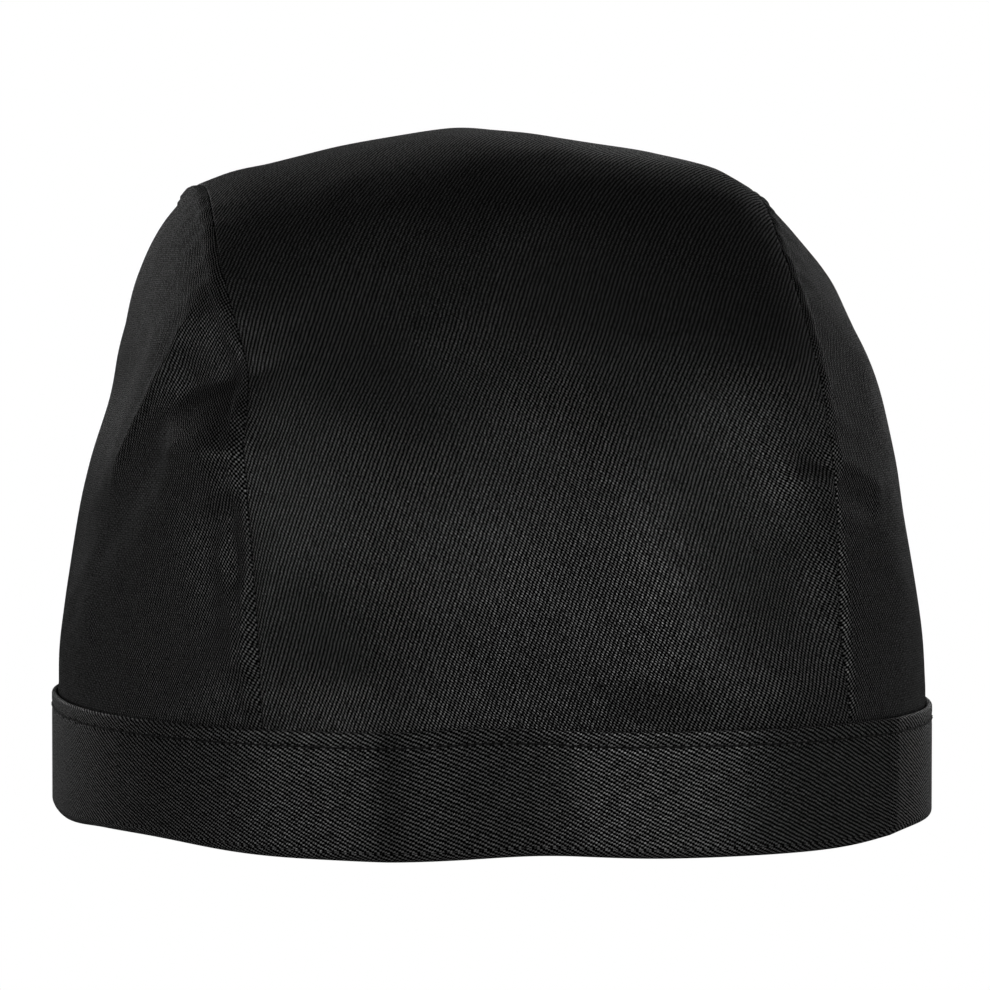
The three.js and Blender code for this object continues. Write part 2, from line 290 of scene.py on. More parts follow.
# Meshes: grid lines are close together beside a seam, and evenly spaced further in
FINE_STEPS = (0.0, 0.03, 0.1, 0.2, 0.33, 0.5, 0.7, 0.95, 1.25, 1.6, 2.0, 2.45, 2.95, 3.5, 4.1)
CENTRE_GRID = 1.15
CENTRE_ROWS = 330
SIDE_GRID = 0.95
SIDE_REACH = 95.0
SHARP_EDGE = math.radians(55)

# Points on the curves along which lengths are measured
ARCH_SAMPLES = 2001
RIM_SAMPLES = 8001
CLOTH_SAMPLES = 33

# Normals: the step they are measured over, and how near the middle of a side panel's foot they are level
NORMAL_STEP = 1e-4
POLE = 0.002

# Weave: the spacing of the twill's ribs across the warp and along it, and the height of one pick
CROWN_WEAVE = (0.78 * MM, 1.95 * MM, 0.455 * MM)
BAND_WEAVE = (0.80 * MM, 1.62 * MM, 0.49 * MM)

# How strong the ribs are, the marks where picks cross them, and the picks
CROWN_WAVES = (0.43, 0.49, 0.08)
BAND_WAVES = (0.49, 0.37, 0.14)

# The ribs wander a little, in long drifts and in short steps
RIB_WANDER = 0.5
DRIFT_SCALE = 60.0
JITTER_SCALE = 700.0

# Yarns: the heights between which they catch light, and the noises that make them uneven.
# A scale counts per metre of cloth, and a range is a factor and what is added to it
YARN_TOPS = (0.46, 0.82)
YARN_SCALE = (2400.0, 260.0, 1.0)
YARN_RANGE = (1.4, 0.3)
SPECK_SCALE = 2600.0
SPECK_RANGE = (3.0, -0.5)
PATCH_SCALE = 24.0
PATCH_RANGE = (0.3, 0.85)

# Black cloth: its tone, how much lighter its yarn tops are painted as painted highlight, and how dark the
# painted shade in the pits between them is
CROWN_TONE = 0.0080
# The headband is the crown's black cloth; its tone is set lighter than the crown's, as painted light that
# stands in for light the lamps give the band too little of
BAND_TONE_WITH_PAINTED_LIGHT = 0.0200
PAINTED_YARN_LIGHT = 2.3
PAINTED_PIT_SHADE = 0.02
CROWN_SHINE = 1.85
BAND_SHINE = 1.95
ROUGH_YARN = 0.36
ROUGH_PIT = 0.85
ANISOTROPY = 0.7
WEAVE_RELIEF = 0.06 * MM

# The centre panel is cut a little off the grain
PICK_SLOPE = 0.07
WARP_SLOPE = 0.08

# Beside its right seam the centre panel's cloth is drawn out, and its ribs stand wider apart
RIGHT_EASE = 0.0026
RIGHT_EASE_FROM = 10.0

# Sewing thread
THREAD_TWIST_SCALE = 4000.0
THREAD_TONE = (0.014, 0.003)
THREAD_RELIEF = 0.05 * MM
THREAD_ROUGHNESS = 0.6
THREAD_SHINE = 0.12

# Camera: the photograph's frame is 990 pixels square. From here on lengths are in metres, but the sensor's
PICTURE_PIXELS = 990
FOCAL_PIXELS = 4206.0
HORIZON_ROW = 348.0
CAMERA_TURN = math.radians(-9.0)
CAMERA_DISTANCE = 0.880
CAMERA_ASIDE = 0.0022
CAMERA_HEIGHT = 0.096
SENSOR_MM = 36.0
CAMERA_CLIP = (0.05, 50.0)

# Softboxes, as they stand round the cap: how far round from the front, how high, how large and how strong
SOFTBOX_DISTANCE = 1.6
SOFTBOX_AIM = (0.0, 0.0, 0.06)
SOFTBOXES = [
    # name, degrees to the right of the front, degrees up, width, height, watts
    ("softbox_left", -58.0, 16.0, 0.85, 1.45, 4.8),
    ("side_left", -90.0, 6.0, 0.80, 0.40, 0.25),
    ("softbox_right", 21.0, 16.0, 1.05, 1.45, 7.2),
    ("low_front", 26.0, 3.0, 0.70, 0.25, 0.75),
    ("side_right", 82.0, 24.0, 1.10, 0.50, 0.8),
    ("overhead", 0.0, 84.0, 1.20, 1.00, 0.9),
    ("backdrop_left", -156.0, 18.0, 1.00, 0.80, 2.4),
    ("backdrop_right", 146.0, 12.0, 1.20, 0.70, 2.6),
    ("backdrop_top", 180.0, 30.0, 1.20, 0.50, 0.6),
]

# How bright the white surroundings are as the camera sees them, and as light on the cap
SEEN_WHITE = 1.0
WORLD_GLOW = 0.02
FLOOR_WHITE = 0.85
FLOOR_HALF = 6.0


def mix(a, b, t):
    return a + (b - a) * t


def smoothstep(value, low, high):
    t = np.clip((value - low) / (high - low), 0.0, 1.0)
    return t * t * (3.0 - 2.0 * t)


def unit(vectors):
    return vectors / np.maximum(np.linalg.norm(vectors, axis=-1, keepdims=True), 1e-12)


def levelled(vectors):
    return unit(vectors * np.array([1.0, 1.0, 0.0]))


def table_at(rows, column, at):
    """A smooth curve through one column of a table whose first column is the place."""
    table = np.array(rows, float)
    place, value = table[:, 0], table[:, column]
    last = len(place) - 1
    before = np.maximum(np.arange(last + 1) - 1, 0)
    after = np.minimum(np.arange(last + 1) + 1, last)
    slope = (value[after] - value[before]) / (place[after] - place[before])
    x = np.clip(at, place[0], place[-1])
    i = np.clip(np.searchsorted(place, x, side="left") - 1, 0, last - 1)
    run = place[i + 1] - place[i]
    t = (x - place[i]) / run
    rising = t * (1 - t) ** 2 * run * slope[i]
    falling = t * t * (t - 1) * run * slope[i + 1]
    return mix(value[i], value[i + 1], t * t * (3 - 2 * t)) + rising + falling


def lengths_along(points, axis):
    """Distance along the lines of a grid, from its first line."""
    steps = np.linalg.norm(np.diff(points, axis=axis), axis=-1)
    start = np.zeros_like(np.take(steps, [0], axis=axis))
    return np.concatenate([start, np.cumsum(steps, axis=axis)], axis=axis)


def seam_x(side, rise):
    return table_at(SEAMS, 1 if side == LEFT else 2, rise)


def rim_reach(x):
    """Share of the rim's full depth at x."""
    fullness = np.where(x < 0, RIM_FULLNESS[LEFT], RIM_FULLNESS[RIGHT])
    return np.clip(1 - (np.abs(x) / RIM_HALF_WIDTH) ** fullness, 0, 1) ** (1 / fullness)


def arch(angle, share, height):
    """An arch from front to back: the angle runs from 0 at its front foot to pi at its back foot."""
    cosine, sine = np.cos(angle), np.maximum(np.sin(angle), 0.0)
    run = np.where(cosine > 0, RIM_FRONT, RIM_BACK) * share
    level, upright = (np.abs(cosine) / run) ** ARCH_FULLNESS, (sine / height) ** ARCH_FULLNESS
    reach = (level + upright) ** (-1 / ARCH_FULLNESS)
    return -reach * cosine, reach * sine, run


def centre_point(across, angle):
    """The centre panel: across is -1 at the left seam and 1 at the right one."""
    share = rim_reach(mix(seam_x(LEFT, 0.0), seam_x(RIGHT, 0.0), (across + 1) / 2))
    height = SEAM_TOP - BAND_HEIGHT + table_at(TOP_PROFILE, 1, across)
    y, z, _ = arch(angle, share, height)
    x = mix(seam_x(LEFT, z / height), seam_x(RIGHT, z / height), (across + 1) / 2)
    return np.stack([x, y + RIM_CENTRE_Y, z + BAND_HEIGHT], -1)


def side_reach(side, far, y, z, run):
    """How far out a side panel stands, from its point on the seam's arch."""
    height = SEAM_TOP - BAND_HEIGHT
    foot = abs(seam_x(side, 0.0))
    share = rim_reach(side * foot)
    seam = np.abs(seam_x(side, z / height))
    fullness = RIM_FULLNESS[side]
    rim_x = RIM_HALF_WIDTH * np.clip(1 - (far * share) ** fullness, 0, 1) ** (1 / fullness)
    low = (rim_x - foot) / (RIM_HALF_WIDTH - foot)
    tall = table_at(SIDE_PROFILE, 1 if side == LEFT else 2, far)
    climb = z / height / np.maximum(np.hypot(y / run, z / height), 1e-9)
    return mix(seam, RIM_HALF_WIDTH, mix(low, tall, climb))


def side_point(side, far, angle):
    """A side panel: far is 0 at the middle of its foot and 1 all along the seam."""
    share = rim_reach(side * abs(seam_x(side, 0.0)))
    y, z, run = arch(angle, share, SEAM_TOP - BAND_HEIGHT)
    x = side_reach(side, far, y, z, run)
    return np.stack([side * x, y * far + RIM_CENTRE_Y, z * far + BAND_HEIGHT], -1)


def normal_at(surface, u, v, u_range, v_range):
    """The outward normals of a surface given by two numbers."""
    du = surface(np.clip(u + NORMAL_STEP, *u_range), v) - surface(np.clip(u - NORMAL_STEP, *u_range), v)
    dv = surface(u, np.clip(v + NORMAL_STEP, *v_range)) - surface(u, np.clip(v - NORMAL_STEP, *v_range))
    normal = unit(np.cross(du, dv))
    inside = np.array([0.0, RIM_CENTRE_Y, BAND_HEIGHT])
    outward = ((surface(u, v) - inside) * normal).sum(-1, keepdims=True)
    return np.where(outward < 0, -normal, normal)


def centre_normal(across, angle):
    return normal_at(centre_point, across, angle, (-1.0, 1.0), (0.0, math.pi))


def side_normal(side, far, angle):
    """A side panel's normals. They are level sideways at the pole in the middle of its foot."""

    def surface(u, v):
        return side_point(side, u, v)

    normal = normal_at(surface, np.maximum(far, POLE), angle, (POLE, 1.0), (0.0, math.pi))
    return np.where((far < POLE)[..., None], np.array([side, 0.0, 0.0]), normal)


def seam_direction(side, angle):
    """Halfway between the outward directions of the two panels that meet on a seam."""
    here = np.full_like(angle, float(side))
    far = np.ones_like(angle)
    return unit(centre_normal(here, angle) + side_normal(side, far, angle))


def fold_push(points, folds):
    """How far a table of folds moves each point outwards."""
    push = np.zeros(points.shape[:-1])
    for start, end, width, height in folds:
        start, end = np.array(start, float), np.array(end, float)
        along = end - start
        t = np.clip(((points - start) @ along) / max(along @ along, 1e-9), 0, 1)
        away = np.linalg.norm(points - start - t[..., None] * along, axis=-1) / width
        push = push + height * np.exp(-away * away)
    return push


def crease_push(points, normal, creases):
    """How far a table of creases moves each point outwards. Each one fades out at its ends."""
    push = np.zeros(points.shape[:-1])
    for path, width, height, rounding in creases:
        path = np.array(path, float)
        length = lengths_along(path, 0)
        nearest = np.full(push.shape, np.inf)
        spot = np.zeros(push.shape)
        for start, end, before in zip(path[:-1], path[1:], length[:-1]):
            along = end - start
            t = np.clip(((points - start) @ along) / (along @ along), 0, 1)
            away = points - start - t[..., None] * along
            away = away - (away * normal).sum(-1, keepdims=True) * normal
            away = np.linalg.norm(away, axis=-1)
            closer = away < nearest
            nearest = np.where(closer, away, nearest)
            spot = np.where(closer, before + t * np.linalg.norm(along), spot)
        share = spot / length[-1]
        fade = smoothstep(share, 0, CREASE_END) * (1 - smoothstep(share, 1 - CREASE_END, 1))
        crest = np.exp((rounding - np.sqrt(nearest ** 2 + rounding ** 2)) / width)
        push = push + height * fade * crest
    return push


def above_band(points, full_height):
    """0 where the crown enters the headband, and 1 from a height over the band's edge upwards."""
    return smoothstep(points[..., 2], BAND_HEIGHT - BAND_GRIP, BAND_HEIGHT + full_height)


def soft_push(points):
    """How far the soft folds move the crown's cloth outwards."""
    return fold_push(points, SOFT_FOLDS) * above_band(points, SOFT_FOLD_FADE)


def waves(points, wavelength, seed):
    """Smooth random waves in space, about 1 high, the same each run."""
    draw = np.random.default_rng(seed)
    directions = unit(draw.normal(size=(WAVES_ADDED, 3)))
    lengths = wavelength * draw.uniform(*WAVELENGTH_SPREAD, WAVES_ADDED)
    phases = draw.uniform(0, 2 * math.pi, WAVES_ADDED)
    angles = points @ (directions / lengths[:, None]).T * (2 * math.pi) + phases
    return np.sin(angles).sum(-1) / math.sqrt(WAVES_ADDED / 2)


def slack_waves(points, distance, table):
    """The cloth's slack, from a table of waves. It dies away towards the seam."""
    slack = sum(height * waves(points, wavelength, seed) for height, wavelength, seed in table)
    return slack * smoothstep(distance, 0.0, SEAM_CALM)


def puckers(along, distance, seed, height, spacing, reach, start, drift, drift_length, uneven):
    """Short puckers that run out of a seam, given a distance along it and away from it."""
    phase = np.random.default_rng(seed).uniform(0, 2 * math.pi, 3)
    drifted = drift * np.sin(along / drift_length + phase[1])
    ripple = np.sin(along / spacing * 2 * math.pi + phase[0] + drifted)
    size = height * (1 - uneven + uneven * np.sin(along / PUCKER_UNEVEN_LENGTH + phase[2]))
    return size * ripple * np.exp(-distance / reach) * smoothstep(distance, 0.0, start)


def roll(side, distance, along):
    """The rounded edge of a panel that turns down into its seam, drawn in a little at each stitch."""
    radius = SEAM_ROLL[side]
    near = np.clip(radius - distance, 0, radius)
    turned = np.sqrt(np.maximum(radius ** 2 - near ** 2, 0)) - radius
    stitch = 0.5 + 0.5 * np.cos(along / SEAM_STITCH * 2 * math.pi)
    return turned - STITCH_DENT[side] * stitch * np.exp(-(distance / STITCH_DENT_REACH) ** 2)


def allowance(side, points, distance, along):
    """The raised strip beside a seam, over its turned allowance. It is higher at the seam's top."""
    width = ALLOWANCE_WIDTH[side]
    beyond = smoothstep(distance, width, width + ALLOWANCE_EDGE)
    strip = smoothstep(distance, *ALLOWANCE_START) * (1 - beyond)
    crest = smoothstep(points[..., 2], SEAM_TOP - ALLOWANCE_CREST_FOOT, SEAM_TOP - ALLOWANCE_CREST_TOP)
    waver = ALLOWANCE_WAVER * np.sin(along / ALLOWANCE_WAVER_LENGTH)
    return (ALLOWANCE_RISE[side] + ALLOWANCE_CREST_RISE[side] * crest + waver) * strip


def cloth_lines(length, fine_steps, step):
    """Places from an edge inwards, close together at the edge, in millimetres."""
    count = int(math.ceil((length - fine_steps[-1]) / step))
    return np.array(list(fine_steps) + list(np.linspace(fine_steps[-1], length, count + 1)[1:]))


def link_new(name, data):
    made = bpy.data.objects.new(name, data)
    bpy.context.scene.collection.objects.link(made)
    return made


def make_mesh(name, points, faces, corner_uv, material):
    """A mesh object from points in millimetres. Its UV map is the cloth's length and width, in metres."""
    a, b, c, d = (points[faces[:, corner]] for corner in range(4))
    volume = (np.cross(b - a, c - a) * a).sum() + (np.cross(c - a, d - a) * a).sum()
    if volume < 0:
        faces = faces[:, ::-1]
        corner_uv = corner_uv[:, ::-1]
    mesh = bpy.data.meshes.new(name)
    mesh.from_pydata((points * MM).tolist(), [], faces.tolist())
    layer = mesh.uv_layers.new(name="cloth")
    layer.data.foreach_set("uv", (corner_uv * MM).reshape(-1))
    mesh.shade_smooth()
    mesh.set_sharp_from_angle(angle=SHARP_EDGE)
    mesh.materials.append(material)
    mesh.validate()
    return link_new(name, mesh)


def quads(index):
    """The four-cornered faces of a grid of point numbers."""
    return np.stack([index[:-1, :-1], index[:-1, 1:], index[1:, 1:], index[1:, :-1]], -1).reshape(-1, 4)


def shell(name, outside, direction, thickness, uv, material):
    """A closed wall of cloth under a grid of outside points."""
    rows, columns = outside.shape[:2]
    inside = outside - direction * thickness
    points = np.concatenate([outside.reshape(-1, 3), inside.reshape(-1, 3)])
    index = np.arange(rows * columns).reshape(rows, columns)
    under = rows * columns
    top = quads(index)
    border = np.concatenate([index[0, :-1], index[:-1, -1], index[-1, :0:-1], index[:0:-1, 0]])
    after = np.roll(border, -1)
    rim = np.stack([border, border + under, after + under, after], -1)
    faces = np.concatenate([top, top[:, ::-1] + under, rim])
    flat = np.concatenate([uv.reshape(-1, 2)] * 2)
    return make_mesh(name, points, faces, flat[faces], material)


def tucked(base, normal, heights):
    """Upright rows under a panel's foot, held inside the headband."""
    rows = np.repeat(base[None], len(heights), axis=0)
    rows[..., 2] = heights[:, None]
    return rows, np.repeat(levelled(normal)[None], len(heights), axis=0)


def centre_cloth_uv(base, u, v):
    """Length over the centre panel across its warp and along it, turned a little off the grain."""
    middle = u.shape[1] // 2
    across = u - u[:, middle:middle + 1]
    across = across - RIGHT_EASE * np.maximum(across - RIGHT_EASE_FROM, 0.0) ** 2
    across = across - WARP_SLOPE * (base[..., 1] + RIM_FRONT)
    return np.stack([across, v - BAND_HEIGHT + TUCK_FOOT + PICK_SLOPE * across], -1)


def centre_panel(material):
    half = abs(seam_x(LEFT, 0.0) - seam_x(RIGHT, 0.0)) / 2
    offsets = cloth_lines(half, FINE_STEPS, CENTRE_GRID)
    columns = np.concatenate([offsets / half - 1, (1 - offsets / half)[-2::-1]])
    dense = np.linspace(0, math.pi, ARCH_SAMPLES)
    length = lengths_along(centre_point(np.zeros_like(dense), dense), 0)
    rows = np.interp(np.linspace(0, length[-1], CENTRE_ROWS), length, dense)
    across, angle = np.meshgrid(columns, rows)
    base = centre_point(across, angle)
    normal = centre_normal(across, angle)
    for foot in (0, -1):
        normal[foot] = levelled(normal[foot])
    front, front_normal = tucked(base[0], normal[0], TUCK_HEIGHTS)
    back, back_normal = tucked(base[-1], normal[-1], TUCK_HEIGHTS[::-1])
    tuck = len(TUCK_HEIGHTS)
    base = np.concatenate([front, base, back])
    normal = np.concatenate([front_normal, normal, back_normal])
    edge_angle = np.concatenate([np.zeros(tuck), rows, np.full(tuck, math.pi)])
    u = lengths_along(base, 1)
    v = lengths_along(base, 0)
    from_seam = {LEFT: u, RIGHT: u[:, -1:] - u}
    nearest = np.minimum(from_seam[LEFT], from_seam[RIGHT])
    direction = normal
    relief = soft_push(base)
    slack = slack_waves(base, nearest, CENTRE_SLACK)
    slack = slack + smoothstep(nearest, 0.0, CREASE_CALM) * crease_push(base, normal, CENTRE_CREASES)
    for side, distance in from_seam.items():
        weight = np.exp(-(distance / SEAM_BLEND) ** 2)[..., None]
        direction = unit(mix(direction, seam_direction(side, edge_angle)[:, None, :], weight))
        relief = relief + roll(side, distance, v)
        slack = slack + puckers(v, distance, CENTRE_PUCKER_SEED[side], *PUCKERS["centre"])
    push = fold_push(base, FOLDS) + relief + above_band(base, CENTRE_FADE) * slack
    outside = base + direction * push[..., None]
    return shell("crown_centre", outside, direction, CROWN_THICKNESS, centre_cloth_uv(base, u, v), material)


def side_line(column, row):
    """Square grid lines bent into the D of a side panel, with its straight foot and its arched seam."""
    far = np.maximum(np.abs(column), row)
    low = np.minimum(np.abs(column), row) / np.maximum(far, 1e-9)
    quarter = np.where(np.abs(column) >= row, math.pi / 4 * low, math.pi / 2 - math.pi / 4 * low)
    return far, np.where(column < 0, quarter, math.pi - quarter)


def side_cloth_uv(side, far, angle):
    """Length over the side panel from its middle and from its foot, along level and upright lines."""
    height = SEAM_TOP - BAND_HEIGHT
    share = rim_reach(side * abs(seam_x(side, 0.0)))
    arch_y, arch_z, _ = arch(angle, share, height)
    y, z = arch_y * far, arch_z * far

    def reach(y, z):
        run = np.where(y < 0, RIM_FRONT, RIM_BACK) * share
        out = ((np.abs(y) / run) ** ARCH_FULLNESS + (z / height) ** ARCH_FULLNESS) ** (1 / ARCH_FULLNESS)
        out = np.clip(out, 1e-6, 1.0)
        return side_reach(side, out, y / out, z / out, run)

    steps = np.linspace(0, 1, CLOTH_SAMPLES)[:, None, None]
    level = np.stack([y * steps, reach(y * steps, z + 0 * steps)], -1)
    upright = np.stack([z * steps, reach(y + 0 * steps, z * steps)], -1)
    u = -np.sign(y) * lengths_along(level, 0)[-1]
    v = lengths_along(upright, 0)[-1]
    return np.stack([u, v], -1)


def side_panel(side, name, material):
    lines = (1 - cloth_lines(SIDE_REACH, FINE_STEPS, SIDE_GRID) / SIDE_REACH)[::-1]
    columns = np.concatenate([-lines[::-1], lines[1:]])
    far, angle = side_line(*np.meshgrid(columns, lines))
    base = side_point(side, far, angle)
    normal = side_normal(side, far, angle)
    normal[0] = levelled(normal[0])
    uv = side_cloth_uv(side, far, angle)
    distance = np.linalg.norm(base - side_point(side, np.ones_like(far), angle), axis=-1)
    foot, foot_normal = tucked(base[0], normal[0], TUCK_HEIGHTS)
    tuck = len(TUCK_HEIGHTS)
    base = np.concatenate([foot, base])
    normal = np.concatenate([foot_normal, normal])
    distance, angle, uv = (
        np.concatenate([np.repeat(grid[:1], tuck, axis=0), grid]) for grid in (distance, angle, uv)
    )
    uv[:tuck, :, 1] = (TUCK_HEIGHTS - BAND_HEIGHT)[:, None]
    weight = np.exp(-(distance / SEAM_BLEND) ** 2)[..., None]
    direction = unit(mix(normal, seam_direction(side, angle), weight))
    along = angle * ARCH_RADIUS
    slack = allowance(side, base, distance, along) + slack_waves(base, distance, SIDE_SLACK[side])
    slack = slack + puckers(along, distance, SIDE_PUCKER_SEED[side], *PUCKERS["side"])
    slack = slack + smoothstep(distance, 0.0, CREASE_CALM) * crease_push(base, normal, SIDE_CREASES[side])
    relief = roll(side, distance, along) + soft_push(base) + above_band(base, SIDE_FADE) * slack
    outside = base + direction * (fold_push(base, FOLDS) + relief)[..., None]
    return shell(name, outside, direction, CROWN_THICKNESS, uv, material)


def rim_curve(count):
    """Even points of the crown's outside on the rim, from the middle of the back round by the left."""
    turn = np.linspace(-math.pi, math.pi, RIM_SAMPLES)
    sine, cosine = np.sin(turn), np.cos(turn)
    fullness = np.where(sine < 0, RIM_FULLNESS[LEFT], RIM_FULLNESS[RIGHT])
    x = RIM_HALF_WIDTH * np.sign(sine) * np.abs(sine) ** (2 / fullness)
    run = np.where(cosine > 0, RIM_FRONT, RIM_BACK)
    y = -run * np.sign(cosine) * np.abs(cosine) ** (2 / fullness) + RIM_CENTRE_Y
    length = lengths_along(np.stack([x, y], -1), 0)
    total = length[-1]
    places = np.arange(count) * total / count
    spot = np.stack([np.interp(places, length, x), np.interp(places, length, y)], -1)
    ahead = np.roll(spot, -1, axis=0) - np.roll(spot, 1, axis=0)
    outward = unit(np.stack([ahead[:, 1], -ahead[:, 0]], -1))
    return spot, outward, total


def band_place(spot, outward, out, up):
    """Points of the headband, from the rim's stations, the way out from the crown and the height."""
    shape = np.broadcast_shapes(spot.shape[:-1], np.shape(out), np.shape(up))
    base = np.zeros(shape + (3,))
    base[..., :2] = spot
    base[..., 2] = up
    direction = np.zeros(shape + (3,))
    direction[..., :2] = outward
    push = fold_push(base, FOLDS) + crease_push(base, direction, BAND_CREASES) + out
    placed = base + direction * push[..., None]
    placed[..., 2] += band_lift(placed)
    return placed


def band_lift(points):
    """The headband's rise near the middle of the front, and that of its fold at the two front corners."""
    front = smoothstep(-points[..., 1], LIFT_BEHIND, LIFT_FULL)
    beside = np.abs(points[..., 0]) - CORNER_X
    corners = np.exp(-(beside / CORNER_REACH) ** 2 - (points[..., 2] / CORNER_REACH_UP) ** 2)
    lean = FRONT_LIFT_X + (points[..., 2] - BAND_HEIGHT) * FRONT_LIFT_LEAN
    middle = np.exp(-((points[..., 0] - lean) / FRONT_LIFT_REACH) ** 2)
    return front * (CORNER_LIFT * corners + FRONT_LIFT * middle)


def band_edge(outer, inner, top, steps):
    """The rounded upper edge of one layer of the headband, from its outer side over to its inner one."""
    half = (outer - inner) / 2
    turns = np.linspace(0, math.pi, steps)[1:-1]
    return [(inner + half + half * math.cos(turn), top + BAND_LIP * math.sin(turn)) for turn in turns]


def band_profile():
    """The headband's folded strip as a closed line: out from the crown, and up."""
    radius = (BAND_OUT - BAND_INNER) / 2
    middle = (BAND_OUT + BAND_INNER) / 2
    top = BAND_HEIGHT - BAND_LIP
    line = [(BAND_OUT, up) for up in np.linspace(radius, top, OUTSIDE_POINTS)]
    line += band_edge(BAND_OUT, BAND_SLOT, top, OUTER_LIP_POINTS)
    line += [(BAND_SLOT, up) for up in np.linspace(top, radius, SLOT_POINTS)]
    line += [(BAND_INNER_SLOT, up) for up in np.linspace(radius, top, SLOT_POINTS)]
    line += band_edge(BAND_INNER_SLOT, BAND_INNER, top, INNER_LIP_POINTS)
    line += [(BAND_INNER, up) for up in np.linspace(top, radius, INSIDE_POINTS)]
    for turn in np.linspace(math.pi, 2 * math.pi, FOLD_POINTS)[1:-1]:
        line.append((middle + radius * math.cos(turn), radius + radius * math.sin(turn)))
    return np.array(line)


def headband(material):
    stations = STITCHES_ROUND * STATIONS_PER_STITCH
    spot, outward, total = rim_curve(stations)
    profile = band_profile()
    out = np.repeat(profile[None, :, 0], stations, axis=0)
    up = np.repeat(profile[None, :, 1], stations, axis=0)
    outer = (profile[:, 0] >= BAND_OUT - 1e-6)[None, :]
    from_row = up - (BAND_HEIGHT - STITCH_UNDER_EDGE)
    phase = (np.arange(stations) % STATIONS_PER_STITCH)[:, None]
    along = np.minimum(phase, STATIONS_PER_STITCH - phase) * total / stations
    valley = -VALLEY_DEPTH * np.exp(-(from_row / VALLEY_WIDTH) ** 2)
    hole = -HOLE_DEPTH * np.exp(-(from_row / HOLE_HEIGHT) ** 2 - (along / HOLE_WIDTH) ** 2)
    puff = PUFF_RISE * np.exp(-((up - BAND_HEIGHT + PUFF_UNDER_EDGE) / PUFF_WIDTH) ** 2)
    out = out + np.where(outer, valley + hole + puff, 0.0)
    points = band_place(spot[:, None, :], outward[:, None, :], out, up)
    index = np.arange(stations * len(profile)).reshape(stations, len(profile))
    index = np.concatenate([index, index[:1]], axis=0)
    index = np.concatenate([index, index[:, :1]], axis=1)
    around = np.arange(stations + 1) * total / stations
    strip = lengths_along(np.concatenate([profile, profile[:1]]), 0)
    uv = np.stack(np.meshgrid(strip, -around), -1)
    corner_uv = np.stack([uv[:-1, :-1], uv[:-1, 1:], uv[1:, 1:], uv[1:, :-1]], -2).reshape(-1, 4, 2)
    return make_mesh("headband_cloth", points.reshape(-1, 3), quads(index), corner_uv, material)


def band_stitches(material):
    """The topstitch row: one short bow of thread from each hole to the next."""
    steps = THREAD_POINTS
    spot, outward, _ = rim_curve(STITCHES_ROUND * (steps - 1))
    number = (np.arange(STITCHES_ROUND)[:, None] * (steps - 1) + np.arange(steps)[None]) % len(spot)
    share = np.linspace(0, math.pi, steps)
    draw = np.random.default_rng(THREAD_SEED)
    lean = draw.normal(0, THREAD_LEAN, (STITCHES_ROUND, 1)) * np.cos(share)
    out = BAND_OUT - THREAD_SINK + THREAD_BOW * np.sin(share)[None] ** 0.5
    up = BAND_HEIGHT - STITCH_UNDER_EDGE + lean
    path = band_place(spot[number], outward[number], out, up)
    along = unit(np.gradient(path, axis=1))
    away = np.zeros_like(path)
    away[..., :2] = outward[number]
    beside = unit(np.cross(along, away))
    away = np.cross(beside, along)
    turn = np.arange(THREAD_SIDES) * 2 * math.pi / THREAD_SIDES
    ring = away[..., None, :] * np.cos(turn)[:, None] + beside[..., None, :] * np.sin(turn)[:, None]
    points = path[..., None, :] + ring * THREAD_RADIUS
    index = np.arange(points.size // 3).reshape(STITCHES_ROUND, steps, THREAD_SIDES)
    index = np.concatenate([index, index[:, :, :1]], axis=2)
    # Two four-cornered faces close each six-sided end
    first, last = index[:, 0], index[:, -1]
    ends = [first[:, [3, 2, 1, 0]], first[:, [5, 4, 3, 0]], last[:, [0, 1, 2, 3]], last[:, [0, 3, 4, 5]]]
    faces = np.concatenate([quads(stitch) for stitch in index] + ends)
    corner_uv = np.zeros((len(faces), 4, 2))
    return make_mesh("band_topstitch", points.reshape(-1, 3), faces, corner_uv, material)


def node(tree, kind, inputs=None, **settings):
    made = tree.nodes.new(kind)
    for name, value in settings.items():
        setattr(made, name, value)
    for name, value in (inputs or {}).items():
        if isinstance(value, bpy.types.NodeSocket):
            tree.links.new(value, made.inputs[name])
        else:
            made.inputs[name].default_value = value
    return made


def maths(tree, operation, first, second=None, third=None):
    inputs = {0: first}
    if second is not None:
        inputs[1] = second
    if third is not None:
        inputs[2] = third
    return node(tree, "ShaderNodeMath", inputs, operation=operation).outputs[0]


def noise(tree, place, scale, detail):
    inputs = {"Vector": place, "Scale": scale, "Detail": detail}
    return node(tree, "ShaderNodeTexNoise", inputs).outputs["Fac"]


def grey(tree, tone):
    return node(tree, "ShaderNodeCombineColor", {"Red": tone, "Green": tone, "Blue": tone}).outputs[0]


def new_material(name):
    material = bpy.data.materials.new(name)
    material.use_nodes = True
    return material, material.node_tree


